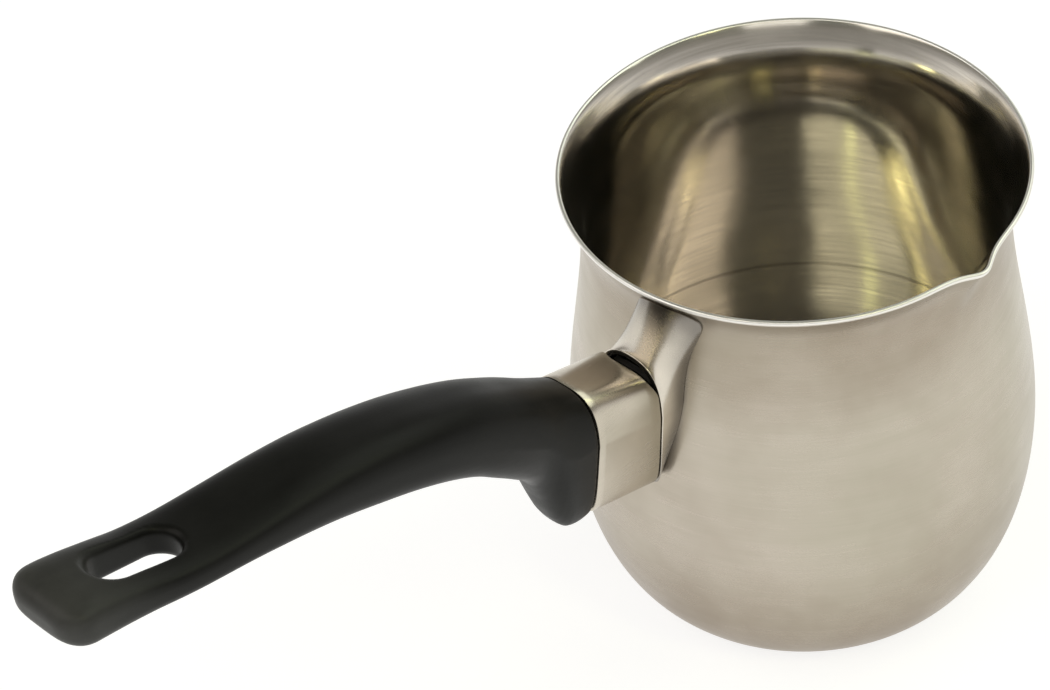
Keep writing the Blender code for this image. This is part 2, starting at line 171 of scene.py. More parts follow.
# ---- camera ----
CAMERA_AIM = Vector((56.6, -23.1, 82.9)) * MM
CAMERA_DISTANCE = 672.0 * MM
CAMERA_AZIMUTH = math.radians(138.4)
CAMERA_ELEVATION = math.radians(42.49)
CAMERA_ROLL = math.radians(-6.37)
CAMERA_LENS = 114.43
CAMERA_SENSOR = 36.0


# ---------------------------------------------------------------- curves


def bezier(p0, p1, p2, p3, steps):
    """Points of a cubic Bezier curve, without its first point."""
    points = []
    for i in range(1, steps + 1):
        t = i / steps
        s = 1 - t
        weights = (s**3, 3 * s * s * t, 3 * s * t * t, t**3)
        points.append(
            tuple(sum(w * p[k] for w, p in zip(weights, (p0, p1, p2, p3))) for k in (0, 1))
        )
    return points


def smooth_step(t):
    t = min(max(t, 0.0), 1.0)
    return t * t * (3 - 2 * t)


def rising(value, start, stop):
    """From 0 at start to 1 at stop, which may be below start. It is eased at both ends."""
    return smooth_step((value - start) / (stop - start))


def through(knots, x):
    """Smooth curve through knots of (x, value), flat beyond both ends and free of overshoot."""
    if x <= knots[0][0]:
        return knots[0][1]
    if x >= knots[-1][0]:
        return knots[-1][1]
    slopes = [(b[1] - a[1]) / (b[0] - a[0]) for a, b in zip(knots, knots[1:])]
    tangents = [slopes[0]]
    for left, right in zip(slopes, slopes[1:]):
        same_way = left * right > 0
        tangents.append(2 * left * right / (left + right) if same_way else 0.0)
    tangents.append(slopes[-1])
    for i, (a, b) in enumerate(zip(knots, knots[1:])):
        if x <= b[0]:
            span = b[0] - a[0]
            t = (x - a[0]) / span
            return (
                (1 + 2 * t) * (1 - t) ** 2 * a[1]
                + t * (1 - t) ** 2 * span * tangents[i]
                + t * t * (3 - 2 * t) * b[1]
                + t * t * (t - 1) * span * tangents[i + 1]
            )


def offset_inwards(profile, distance):
    """The same profile moved towards the pot's axis, square to itself, by distance(z)."""
    moved = []
    for i, (r, z) in enumerate(profile):
        before, after = profile[max(i - 1, 0)], profile[min(i + 1, len(profile) - 1)]
        dr, dz = after[0] - before[0], after[1] - before[1]
        length = math.hypot(dr, dz)
        step = distance(z)
        moved.append((r - dz / length * step, z + dr / length * step))
    return moved


def superellipse(half, top, middle, bottom, power_up, power_low, taper, count=SECTION_POINTS):
    """Closed section as (y, z) points, anticlockwise seen from +X. It is widest at middle height,
    and taper is the share of its width that it loses by the bottom."""
    loop = []
    for i in range(count):
        angle = 2 * math.pi * i / count
        c, s = math.cos(angle), math.sin(angle)
        power = power_up if s >= 0 else power_low
        y = half * math.copysign(abs(c) ** (2 / power), c)
        rise = abs(s) ** (2 / power)
        if s >= 0:
            z = middle + (top - middle) * rise
        else:
            z = middle - (middle - bottom) * rise
            y *= 1 - taper * rise
        loop.append((y, z))
    return evened(loop)


def evened(loop):
    """The same closed loop with its points at even distances, and its first point kept."""
    closed = loop + [loop[0]]
    reach = [0.0]
    for a, b in zip(closed, closed[1:]):
        reach.append(reach[-1] + math.hypot(b[0] - a[0], b[1] - a[1]))
    even, k = [], 0
    for i in range(len(loop)):
        want = reach[-1] * i / len(loop)
        while reach[k + 1] < want:
            k += 1
        t = (want - reach[k]) / max(reach[k + 1] - reach[k], 1e-9)
        a, b = closed[k], closed[k + 1]
        even.append((a[0] + (b[0] - a[0]) * t, a[1] + (b[1] - a[1]) * t))
    return even


# ---------------------------------------------------------------- meshes


def mesh_object(name, bm, surfaces, smooth_angle=40):
    """Turns a bmesh in millimetres into an outward-facing object in metres."""
    bmesh.ops.recalc_face_normals(bm, faces=bm.faces)
    bmesh.ops.scale(bm, vec=(MM, MM, MM), verts=bm.verts)
    mesh = bpy.data.meshes.new(name)
    bm.to_mesh(mesh)
    bm.free()
    for surface in surfaces:
        mesh.materials.append(surface)
    mesh.shade_smooth()
    mesh.set_sharp_from_angle(angle=math.radians(smooth_angle))
    made = bpy.data.objects.new(name, mesh)
    bpy.context.scene.collection.objects.link(made)
    return made


def skin(bm, rings, close=False, slots=None):
    """Joins rings of equal length with quads and gives them a UV map: U round a ring, V along.
    With close, the last ring meets the first; otherwise both end rings are capped. A ring of one
    point is a pole. slots gives the material index of each band."""
    uv = bm.loops.layers.uv.verify()
    loops = [[bm.verts.new(point) for point in ring] for ring in rings]
    pairs = list(zip(loops, loops[1:])) + ([(loops[-1], loops[0])] if close else [])
    count = max(len(loop) for loop in loops)
    for k, (low, high) in enumerate(pairs):
        for i in range(count):
            j = (i + 1) % count
            corners = []
            for loop, v in ((low, k), (high, k + 1)):
                if len(loop) == 1:
                    corners.append((loop[0], (i + 0.5) / count, v))
                else:
                    ends = [(loop[i], i / count, v), (loop[j], (i + 1) / count, v)]
                    corners += ends if loop is low else ends[::-1]
            face = bm.faces.new([c[0] for c in corners])
            for corner, (_, u, v) in zip(face.loops, corners):
                corner[uv].uv = (u, v / len(pairs))
            if slots:
                face.material_index = slots[k]
    if not close:
        for loop in (loops[0], loops[-1]):
            if len(loop) > 1:
                bm.faces.new(loop)
    return loops


def along_x(points_yz, x):
    return [(x, y, z) for y, z in points_yz]


def turned(profile, count):
    """Rings of a shape turned about the screw's upright axis, from (height, radius) points."""
    rings = []
    for z, radius in profile:
        ring = []
        for i in range(count):
            angle = 2 * math.pi * i / count
            ring.append((SCREW_X + radius * math.cos(angle), radius * math.sin(angle), z))
        rings.append(ring)
    return rings


def cut(target, cutter):
    """Takes the cutter out of the target and deletes the cutter."""
    boolean = target.modifiers.new("cut", "BOOLEAN")
    boolean.operation = "DIFFERENCE"
    boolean.object = cutter
    apply_modifiers(target)
    bpy.data.objects.remove(cutter)


def apply_modifiers(target):
    """Writes what the object's modifiers make of it into its own mesh."""
    bpy.context.view_layer.update()
    evaluated = target.evaluated_get(bpy.context.evaluated_depsgraph_get())
    made = bpy.data.meshes.new_from_object(evaluated)
    target.modifiers.clear()
    old = target.data
    target.data = made
    made.name = target.name
    bpy.data.meshes.remove(old)


def paint_shade(made, share_at):
    """Stores how much painted shade each vertex shows, as a share of its material's shade colour,
    by its place in mm.
    """
    shares = made.data.attributes.new("painted_shade_share", "FLOAT", "POINT")
    for vertex, share in zip(made.data.vertices, shares.data):
        share.value = share_at(*(vertex.co / MM))
    return made


# ---------------------------------------------------------------- materials

DRAW_LINE_COLOUR = (0.20, 0.18, 0.15)
PHENOLIC_DARK = (0.0045, 0.0045, 0.0038)
PHENOLIC_LIGHT = (0.0085, 0.0085, 0.0075)
PHENOLIC_END_GREY = (0.056, 0.056, 0.053)
END_GREY_FROM_TO = (166.0, 193.0)  # X in mm over which the grip turns greyer
ALONG_X = (0.08, 1.0, 1.0)  # stretches the brushing along the handle


def node(tree, kind, inputs=None, **settings):
    """Adds a shader node. An input's value is a number, a tuple or another node's output socket."""
    made = tree.nodes.new(kind)
    for name, value in settings.items():
        setattr(made, name, value)
    for key, value in (inputs or {}).items():
        socket = made.inputs[key]
        if isinstance(value, bpy.types.NodeSocket):
            tree.links.new(value, socket)
        else:
            socket.default_value = value
    return made


def noise(tree, vector, scale, detail=2.0, roughness=0.5):
    made = node(
        tree,
        "ShaderNodeTexNoise",
        {"Vector": vector, "Scale": scale, "Detail": detail, "Roughness": roughness},
    )
    return made.outputs["Fac"]


def remap(tree, value, low, high, to_low, to_high):
    made = node(
        tree,
        "ShaderNodeMapRange",
        {"Value": value, "From Min": low, "From Max": high, "To Min": to_low, "To Max": to_high},
    )
    return made.outputs["Result"]


def eased(tree, value, start, stop, top):
    """Rises smoothly from 0 at start to top at stop, which may be below start."""
    made = node(
        tree,
        "ShaderNodeMapRange",
        {"Value": value, "From Min": start, "From Max": stop, "To Max": top},
        interpolation_type="SMOOTHSTEP",
    )
    return made.outputs["Result"]


def stretched(tree, vector, scale):
    made = node(tree, "ShaderNodeMapping", {"Vector": vector, "Scale": scale})
    return made.outputs["Vector"]


def summed(tree, *values):
    total = values[0]
    for value in values[1:]:
        total = node(tree, "ShaderNodeMath", {0: total, 1: value}, operation="ADD").outputs[0]
    return total


def mixed_colour(tree, share, first, second):
    """Mixes two colours. The first may also be another node's output socket."""
    made = node(tree, "ShaderNodeMix", {"Factor": share}, data_type="RGBA")
    if isinstance(first, bpy.types.NodeSocket):
        tree.links.new(first, made.inputs["A"])
    else:
        made.inputs["A"].default_value = (*first, 1.0)
    made.inputs["B"].default_value = (*second, 1.0)
    return made.outputs["Result"]


def relief(tree, shader, height, strength, distance_mm):
    made = node(
        tree,
        "ShaderNodeBump",
        {"Strength": strength, "Distance": distance_mm * MM, "Height": height},
    )
    tree.links.new(made.outputs["Normal"], shader.inputs["Normal"])


def new_material(name):
    made = bpy.data.materials.new(name)
    made.use_nodes = True
    tree = made.node_tree
    return made, tree, tree.nodes["Principled BSDF"]


def object_mm(tree):
    """Object coordinates, which here are the row frame's, in millimetres."""
    coordinates = node(tree, "ShaderNodeTexCoord").outputs["Object"]
    return stretched(tree, coordinates, (1 / MM, 1 / MM, 1 / MM))


def steel(
    name, light, dark, roughness, spread, anisotropy, lines, grain, bump,
    painted_shade=None, draw_line=None, streaks=0.3,
):
    """Brushed stainless steel between two tones. roughness varies by about spread. lines stretches
    object coordinates along the brushing, or is "turned" for brushing round the pot, and grain is
    its fineness. painted_shade is the colour of the shade painted where paint_shade() says,
    draw_line the height of the faint ring that the press left, and streaks how strongly the
    brushing shows."""
    made, tree, shader = new_material(name)
    where = object_mm(tree)
    if lines == "turned":
        brush = node(tree, "ShaderNodeAttribute", attribute_name="brush").outputs["Vector"]
    else:
        brush = stretched(tree, where, lines)
    fine = noise(tree, stretched(tree, brush, grain), 1.0, 3.0, 0.65)
    broad = noise(tree, stretched(tree, brush, tuple(g * 0.12 for g in grain)), 1.0, 2.0)
    smudge = noise(tree, where, 0.055, 3.0, 0.55)
    stain = noise(tree, where, 0.028, 2.0)
    tone = summed(
        tree,
        remap(tree, stain, 0.35, 0.65, 0.0, 0.55),
        remap(tree, fine, 0.3, 0.7, 0.0, streaks),
        remap(tree, broad, 0.3, 0.7, 0.0, 0.15),
    )
    colour = mixed_colour(tree, tone, light, dark)
    # Painted shade: the colour is darkened by the share that each vertex stores, broken up a little
    # by noise.
    if painted_shade:
        share = node(tree, "ShaderNodeAttribute", attribute_name="painted_shade_share").outputs["Fac"]
        shade_patchiness = remap(tree, noise(tree, where, 0.045, 3.0, 0.6), 0.35, 0.65, -0.10, 0.18)
        colour = mixed_colour(tree, summed(tree, share, shade_patchiness), colour, painted_shade)
    if draw_line:
        level = node(tree, "ShaderNodeSeparateXYZ", {"Vector": where}).outputs["Z"]
        away = node(tree, "ShaderNodeMath", {0: level, 1: draw_line}, operation="SUBTRACT")
        apart = node(tree, "ShaderNodeMath", {0: away.outputs[0]}, operation="ABSOLUTE")
        line = eased(tree, apart.outputs[0], 0.75, 0.1, 0.45)
        colour = mixed_colour(tree, line, colour, DRAW_LINE_COLOUR)
    tree.links.new(colour, shader.inputs["Base Color"])
    rough = summed(
        tree,
        remap(tree, fine, 0.3, 0.7, roughness - spread, roughness),
        remap(tree, smudge, 0.35, 0.65, -spread * 0.4, spread * 0.8),
        remap(tree, broad, 0.35, 0.65, 0.0, spread * 0.5),
    )
    tree.links.new(rough, shader.inputs["Roughness"])
    relief(tree, shader, fine, bump, 0.02)
    tangent = node(tree, "ShaderNodeTangent", direction_type="UV_MAP")
    tree.links.new(tangent.outputs["Tangent"], shader.inputs["Tangent"])
    shader.inputs["Metallic"].default_value = 1.0
    shader.inputs["Anisotropic"].default_value = anisotropy
    shader.inputs["Anisotropic Rotation"].default_value = 0.25
    return made


def phenolic():
    """Black phenolic moulding: satin, with a faint flow pattern, fine pits and rubbed patches. Its
    free end is greyer."""
    made, tree, shader = new_material("black_phenolic")
    where = object_mm(tree)
    pits = noise(tree, where, 2.6, 3.0, 0.6)
    ripple = noise(tree, stretched(tree, where, (0.06, 0.16, 0.16)), 1.0, 2.0)
    rubbed = noise(tree, stretched(tree, where, (0.05, 0.08, 0.08)), 1.0, 4.0, 0.6)
    scuffs = noise(tree, stretched(tree, where, (0.25, 2.4, 2.4)), 1.0, 4.0, 0.7)
    tone = summed(
        tree,
        remap(tree, rubbed, 0.35, 0.7, 0.0, 0.8),
        remap(tree, pits, 0.4, 0.7, 0.0, 0.2),
    )
    colour = mixed_colour(tree, tone, PHENOLIC_DARK, PHENOLIC_LIGHT)
    along = node(tree, "ShaderNodeSeparateXYZ", {"Vector": where}).outputs["X"]
    greyer_end = node(
        tree,
        "ShaderNodeMath",
        {0: eased(tree, along, *END_GREY_FROM_TO, 1.0), 1: remap(tree, rubbed, 0.3, 0.7, 0.55, 1.0)},
        operation="MULTIPLY",
    )
    colour = mixed_colour(tree, greyer_end.outputs[0], colour, PHENOLIC_END_GREY)
    tree.links.new(colour, shader.inputs["Base Color"])
    rough = summed(
        tree,
        remap(tree, rubbed, 0.3, 0.7, 0.32, 0.42),
        remap(tree, pits, 0.3, 0.7, -0.02, 0.03),
        remap(tree, scuffs, 0.58, 0.75, 0.0, 0.07),
    )
    tree.links.new(rough, shader.inputs["Roughness"])
    height = summed(
        tree,
        remap(tree, pits, 0.0, 1.0, 0.0, 0.3),
        remap(tree, ripple, 0.0, 1.0, 0.0, 1.0),
        remap(tree, scuffs, 0.5, 0.8, 0.0, -0.12),
    )
    relief(tree, shader, height, 0.35, 0.08)
    shader.inputs["Metallic"].default_value = 0.0
    shader.inputs["Specular IOR Level"].default_value = 0.115
    return made


def plain_steel(name, light, dark, roughness, grain):
    """Plated or mill-finish steel of the hidden fastening."""
    made, tree, shader = new_material(name)
    where = object_mm(tree)
    fine = noise(tree, where, grain, 4.0, 0.6)
    cloud = noise(tree, where, grain * 0.12, 3.0)
    tone = summed(
        tree,
        remap(tree, cloud, 0.3, 0.7, 0.0, 0.8),
        remap(tree, fine, 0.3, 0.7, 0.0, 0.2),
    )
    tree.links.new(mixed_colour(tree, tone, light, dark), shader.inputs["Base Color"])
    rough = summed(
        tree,
        remap(tree, fine, 0.3, 0.7, roughness - 0.05, roughness + 0.05),
        remap(tree, cloud, 0.3, 0.7, -0.04, 0.08),
    )
    tree.links.new(rough, shader.inputs["Roughness"])
    relief(tree, shader, fine, 0.3, 0.04)
    shader.inputs["Metallic"].default_value = 1.0
    return made


# ---------------------------------------------------------------- pot body


def body_angles():
    """Angles round the body: finer where the beak bends the rim."""
    angles = []
    fine, coarse = math.radians(0.4), math.radians(1.5)
    angle = SPOUT_ANGLE - SPOUT_HALF_SPAN
    while angle < SPOUT_ANGLE + SPOUT_HALF_SPAN - 1e-6:
        angles.append(angle)
        angle += fine
    rest = 2 * math.pi - 2 * SPOUT_HALF_SPAN
    steps = round(rest / coarse)
    angles += [SPOUT_ANGLE + SPOUT_HALF_SPAN + rest * i / steps for i in range(steps)]
    return angles


def spout_shift(angle, z):
    """Outward and downward move of the wall that forms the beak."""
    turn = (angle - SPOUT_ANGLE + math.pi) % (2 * math.pi) - math.pi
    along = RIM_R * turn
    rounded = math.hypot(along, SPOUT_TIP_ROUND) - SPOUT_TIP_ROUND
    beak = SPOUT_REACH * math.exp(-rounded / SPOUT_SHARP)
    dent = SPOUT_DENT * math.exp(-((along / SPOUT_DENT_WIDTH) ** 2))
    share = rising(z, SPOUT_FOOT_Z, HEIGHT)
    return share * (beak - dent), share * SPOUT_DROP * beak / SPOUT_REACH


def body_ring(radius, z, angles):
    ring = []
    for angle in angles:
        out, down = spout_shift(angle, z)
        r = radius + out
        ring.append((r * math.cos(angle), r * math.sin(angle), z - down))
    return ring


def outer_profile():
    """Outer wall of the body from the edge of the flat base up to the rim."""
    base, belly = (BASE_R, 0.0), (BELLY_R, BELLY_Z)
    neck, rim = (NECK_R, NECK_Z), (RIM_R, HEIGHT)
    below_belly = (BELLY_R, BELLY_Z - BELLY_PULL_LOW)
    above_belly = (BELLY_R, BELLY_Z + BELLY_PULL_UP)
    below_neck = (NECK_R, NECK_Z - NECK_PULL_LOW)
    above_neck = (NECK_R, NECK_Z + NECK_PULL_UP)
    points = [base]
    points += bezier(base, (BASE_R + BASE_PULL, 0.0), below_belly, belly, 26)
    points += bezier(belly, above_belly, below_neck, neck, 22)
    points += bezier(neck, above_neck, (RIM_PULL_R, RIM_PULL_Z), rim, 20)
    return points


OUTER_PROFILE = outer_profile()


def body_radius(z):
    """Outer radius of the plain body wall at a height, ignoring the pouring lip."""
    for (r0, z0), (r1, z1) in zip(OUTER_PROFILE, OUTER_PROFILE[1:]):
        if z0 <= z <= z1 and z1 > z0:
            return r0 + (r1 - r0) * (z - z0) / (z1 - z0)
    return RIM_R


def rim_edge(outer, inner):
    """Rounded edge from the top of the outer wall over to the top of the inner wall."""
    steps = 10
    middle = [(a + b) / 2 for a, b in zip(outer, inner)]
    across = [(a - b) / 2 for a, b in zip(outer, inner)]
    up = (-across[1], across[0])
    points = []
    for i in range(1, steps):
        angle = math.pi * i / steps
        c, s = math.cos(angle), math.sin(angle)
        points.append(tuple(middle[k] + across[k] * c + up[k] * s for k in (0, 1)))
    return points


def wall_thickness(z):
    return WALL + (RIM_WALL - WALL) * rising(z, HEIGHT - RIM_BLEND, HEIGHT)


def base_profile(height):
    """From the middle of the base to its foot ring: pressed up by the dish, then down to height."""
    points = [(r, height + BASE_DISH) for r in DISH_RADII]
    steps = 8
    for i in range(1, steps + 1):
        t = i / steps
        r = DISH_EDGE_R + (FOOT_RING_R - DISH_EDGE_R) * t
        points.append((r, height + BASE_DISH * (1 - smooth_step(t))))
    points += [(FOOT_RING_R + 1.5, height), (FOOT_RING_R + 3.0, height)]
    return points


def body_painted_shade(_x, _y, z):
    """Painted shade: full at the base and gone above the belly, and in part again from the neck up.
    """
    return rising(z, BASE_SHADE_TOP, 0.0) + NECK_SHADE * rising(z, NECK_SHADE_Z0, NECK_SHADE_Z1)


def pot_body(outside, inside, rim):
    """The whole body as one shell, with the materials of its outer wall, inner wall and rim."""
    angles = body_angles()
    inner = offset_inwards(OUTER_PROFILE, wall_thickness)
    edge = rim_edge(OUTER_PROFILE[-1], inner[-1])
    outer_all = base_profile(0.0) + OUTER_PROFILE
    inner_all = inner[::-1] + base_profile(WALL)[::-1]
    profile = outer_all + edge + inner_all
    outside_slot, inside_slot, rim_slot = 0, 1, 2
    rim_from = len(outer_all) - 2  # the outer wall's last band gets the edge's painted highlight too
    rim_to = len(outer_all) + len(edge)
    slots = [outside_slot] * rim_from + [rim_slot] * (rim_to - rim_from)
    slots += [inside_slot] * (len(profile) - 1 - rim_to)
    bm = bmesh.new()
    rings = [body_ring(r, z, angles) if r > 0 else [(0.0, 0.0, z)] for r, z in profile]
    brush = bm.verts.layers.float_vector.new("brush")
    loops = skin(bm, rings, slots=slots)
    travelled = 0.0
    for k, loop in enumerate(loops):
        if k:
            travelled += math.dist(profile[k], profile[k - 1])
        for i, vertex in enumerate(loop):
            angle = angles[i]
            vertex[brush] = Vector((math.cos(angle), math.sin(angle), travelled))
    return paint_shade(mesh_object("pot_body_fine", bm, [outside, inside, rim]), body_painted_shade)


# ---------------------------------------------------------------- bracket and ferrule


def sleeve_section(x, inset=0.0):
    """Outer section of the ferrule, grown evenly from the bracket to the grip."""
    share = (x - MOUTH_X) / (GRIP_X0 - MOUTH_X)
    half, top, middle, bottom, power_up, taper = (
        start + growth * share for start, growth in zip(SLEEVE_START, SLEEVE_GROWTH)
    )
    return superellipse(
        half - inset, top - inset, middle, bottom + inset, power_up, SLEEVE_POWER_LOW, taper
    )


def mouth_section(inset):
    """Open end of the bracket: a little prouder and rounder on top than the ferrule, with one
    shoulder let down towards it."""
    section = superellipse(
        MOUTH_HALF_W - inset,
        MOUTH_TOP - inset,
        MOUTH_MIDDLE,
        MOUTH_BOTTOM + inset,
        MOUTH_POWER_UP,
        SLEEVE_POWER_LOW,
        MOUTH_TAPER,
    )
    return [
        (y, z - SHOULDER_DROP * rising(y, 0.0, -7.0) * rising(z, 80.0, 88.0)) for y, z in section
    ]


def foot_section():
    """Edge of the bracket where it lies on the body: narrow at the belly, splayed under the rim."""
    loop = []
    for y, z in mouth_section(0.0):
        low, high = rising(z, 54.0, 74.0), rising(z, 76.0, MOUTH_TOP)
        splay = FOOT_SPLAY_NEAR * high**3 if y > 0 else FOOT_SPLAY_FAR * high
        lean = FOOT_LEAN * (high**2 if y > 0 else high)
        width = FOOT_WIDTH_LOW + FOOT_WIDTH_GAIN * low + splay
        loop.append((y * width + lean, z + FOOT_RISE * high))
    return loop


def on_body(y, z, lift):
    """Distance along +X of the body's surface at (y, z), raised by lift."""
    return math.sqrt((body_radius(z) + lift) ** 2 - y * y)


def flare_ring(mouth, foot, foot_lift, turn):
    """One ring of the bracket's trumpet. turn goes from 0 at the mouth to 90 degrees at the foot.
    The side towards the lip is fuller, and the far side turns out later and more tightly."""
    ring = []
    for (ym, zm), (yf, zf) in zip(mouth, foot):
        fullness = FLARE_FULLNESS * rising(ym, -5.5, 6.5)
        tight = FLARE_TIGHTNESS - (FLARE_TIGHTNESS - 1) * rising(ym, -6.0, 1.0)
        spread = fullness * math.sin(turn) + (1 - fullness) * (1 - math.cos(turn)) ** tight
        x = MOUTH_X + (on_body(yf, zf, foot_lift) - MOUTH_X) * math.sin(turn)
        ring.append((x, ym + (yf - ym) * spread, zm + (zf - zm) * spread))
    return ring


def bracket_painted_shade(x, y, z):
    """Painted dark reflection: strongest where the bracket meets the body, and gone a few
    millimetres away from it.
    """
    away = math.hypot(x, y) - body_radius(z)
    return BRACKET_SHADE * rising(away, BRACKET_SHADE_FAR, BRACKET_SHADE_NEAR)


# Painted shade on the ferrule, strongest at its bracket end and gone a few millimetres along.
def ferrule_painted_shade(x, _y, _z):
    return FERRULE_SHADE * rising(x, FERRULE_X0 + FERRULE_SHADE_REACH, FERRULE_X0)


def handle_bracket(surface):
    mouth, foot = mouth_section(0.0), foot_section()
    inner_mouth = mouth_section(BRACKET_WALL)
    inner_foot = [
        (yi + INNER_FOOT_SHARE * (yf - ym), zi + INNER_FOOT_SHARE * (zf - zm))
        for (ym, zm), (yf, zf), (yi, zi) in zip(mouth, foot, inner_mouth)
    ]
    steps = 20
    turns = [math.radians(90) * i / steps for i in range(steps + 1)]
    outer = [flare_ring(mouth, foot, FOOT_GAP + FOOT_LIFT, t) for t in turns[1:]]
    lip, lip_steps = [], 4
    for i in range(lip_steps + 1):
        angle = math.radians(90) * i / lip_steps
        inset = BRACKET_LIP_ROUND * (1 - math.sin(angle))
        back = BRACKET_LIP_ROUND * (1 - math.cos(angle))
        lip.append(along_x(mouth_section(inset), MOUTH_X - back))
    edge = [[(on_body(y, z, FOOT_GAP), y, z) for y, z in foot]]
    inner = [flare_ring(inner_mouth, inner_foot, FOOT_GAP, t) for t in reversed(turns)]
    bm = bmesh.new()
    skin(bm, lip + outer + edge + inner, close=True)
    return paint_shade(mesh_object("handle_bracket_fine", bm, [surface]), bracket_painted_shade)


def scalloped(x, inset=0.0):
    """Ring at the ferrule's bracket end, cut back over the crown."""
    points = sleeve_section(x, inset)
    crown = max(z for _, z in points)
    ring = []
    for i, (y, z) in enumerate(points):
        share = rising(z, crown - SCALLOP_DEPTH, crown) * rising(y, -8.0, -2.0)
        back = x + FERRULE_SCALLOP * share
        ring.append((back, *sleeve_section(back, inset)[i]))
    return ring


def ferrule(surface):
    """Sleeve between bracket and grip, with a round hole in its underside for the driver."""
    soft, softer = 0.18, 0.05  # rounding of both ends
    front = [
        scalloped(FERRULE_X0, soft),
        scalloped(FERRULE_X0 + softer, softer),
        scalloped(FERRULE_X0 + soft),
    ]
    first, steps = FERRULE_X0 + 3.0, 8  # clear of the scallop
    last = FERRULE_X1 - soft
    stations = [first + (last - first) * i / steps for i in range(steps + 1)]
    middle = [along_x(sleeve_section(x), x) for x in stations]
    ends = ((FERRULE_X1 - softer, softer), (FERRULE_X1, soft))
    back = [along_x(sleeve_section(x, inset), x) for x, inset in ends]
    inner = [along_x(sleeve_section(x, FERRULE_WALL), x) for x in [FERRULE_X1] + stations[::-1]]
    inner.append(scalloped(FERRULE_X0, FERRULE_WALL))
    bm = bmesh.new()
    skin(bm, front + middle + back + inner, close=True)
    made = mesh_object("ferrule_fine", bm, [surface])
    hole = bmesh.new()
    skin(hole, turned([(BORE_FOOT_Z, RECESS_R), (SEAT_Z, RECESS_R)], 72))
    cut(made, mesh_object("hole_cutter", hole, [surface]))
    return paint_shade(made, ferrule_painted_shade)


# ---------------------------------------------------------------- grip

GRIP_TOP = [
    (68.5, 94.6), (75, 99.3), (82.4, 104.6), (92, 110.6), (102, 115.2), (111, 118.7),
    (121, 121.8), (130.5, 124.0), (140, 125.4), (149.5, 126.4), (159, 127.6), (168, 129.6),
    (176, 132.5), (182, 134.6), (187, 135.9), (192.8, 136.5),
]
GRIP_BOTTOM = [
    (68.5, 60.8), (71.0, 60.4), (73.8, 60.9), (76.0, 63.4), (77.8, 68.0), (79.6, 73.6),
    (82.2, 79.4), (87.0, 84.8), (93, 90.6), (99, 96.0), (106.6, 101.0), (114.6, 105.0),
    (124, 108.9), (134, 112.8), (143, 115.7), (154, 118.8), (165.5, 121.4), (176, 124.1),
    (187, 126.4), (192.8, 127.6),
]
# The sections' values along the grip, as (X, value): half width, widest level as a share of the
# depth, power of the upper and the lower half, and taper
GRIP_HALF_WIDTH = [(68.5, 8.7), (85, 9.2), (110, 9.8), (150, 9.6), (175, 9.5), (192.8, 9.7)]
GRIP_MIDDLE = [(68.5, 0.66), (90, 0.52), (192.8, 0.5)]
GRIP_POWER_UP = [(68.5, 2.7), (110, 2.8), (150, 3.2), (192.8, 3.8)]
GRIP_POWER_LOW = [(68.5, 4.5), (75, 3.4), (80, 2.6), (88, 3.2), (110, 3.2), (192.8, 3.4)]
GRIP_TAPER = [(68.5, 0.36), (80, 0.32), (96, 0.06), (110, 0.0), (192.8, 0.0)]
END_CORNER = 5.6  # rounding of the free end seen from above
END_EDGE = 4.2  # and seen from the side
GRIP_SHOULDER = ((0.0, 0.45), (0.13, 0.16), (0.45, 0.0))  # distances past the ferrule, and insets


def grip_section(x):
    top, bottom = through(GRIP_TOP, x), through(GRIP_BOTTOM, x)
    half = through(GRIP_HALF_WIDTH, x)
    into_corner = x - (GRIP_X1 - END_CORNER)
    if into_corner > 0:
        half -= END_CORNER - math.sqrt(max(END_CORNER**2 - into_corner**2, 0.0))
    into_edge = x - (GRIP_X1 - END_EDGE)
    if into_edge > 0:
        rounding = 0.8 * (END_EDGE - math.sqrt(max(END_EDGE**2 - into_edge**2, 0.0)))
        top -= rounding
        bottom += rounding
    middle = bottom + (top - bottom) * through(GRIP_MIDDLE, x)
    return superellipse(
        half,
        top,
        middle,
        bottom,
        through(GRIP_POWER_UP, x),
        through(GRIP_POWER_LOW, x),
        through(GRIP_TAPER, x),
    )


def shrunk(points, amount):
    """A section pulled in towards its centre by about amount on every side."""
    ys, zs = [y for y, _ in points], [z for _, z in points]
    mid_z = (max(zs) + min(zs)) / 2
    scale_y = 1 - amount / max(ys)
    scale_z = 1 - amount / ((max(zs) - min(zs)) / 2)
    return [(y * scale_y, mid_z + (z - mid_z) * scale_z) for y, z in points]


def grip_rings():
    """Sections from the tenon's end to the grip's free end, closer together where it rounds off."""
    tenon_inset = FERRULE_WALL + GAP
    rings = [along_x(sleeve_section(x, tenon_inset), x) for x in (TENON_X, GRIP_X0)]
    for past, inset in GRIP_SHOULDER:
        x = GRIP_X0 + past
        rings.append(along_x(shrunk(grip_section(x), inset), x))
    first, straight_end, steps = GRIP_X0 + 1.2, GRIP_X1 - END_CORNER, 100
    stations = [first + (straight_end - first) * i / steps for i in range(steps + 1)]
    turns = 18
    for i in range(1, turns + 1):
        x = straight_end + END_CORNER * math.sin(math.radians(90) * i / turns)
        stations.append(min(x, GRIP_X1))
    return rings + [along_x(grip_section(x), x) for x in stations]


def slot_outline(grow):
    """Slot seen from above, grown on every side: two straight sides and two half circles."""
    points, steps, reach = [], 32, SLOT_HALF_W + grow
    for centre, start in ((SLOT_X1 - SLOT_HALF_W, -90), (SLOT_X0 + SLOT_HALF_W, 90)):
        for i in range(steps + 1):
            angle = math.radians(start + 180 * i / steps)
            points.append((centre + reach * math.cos(angle), reach * math.sin(angle)))
    return points


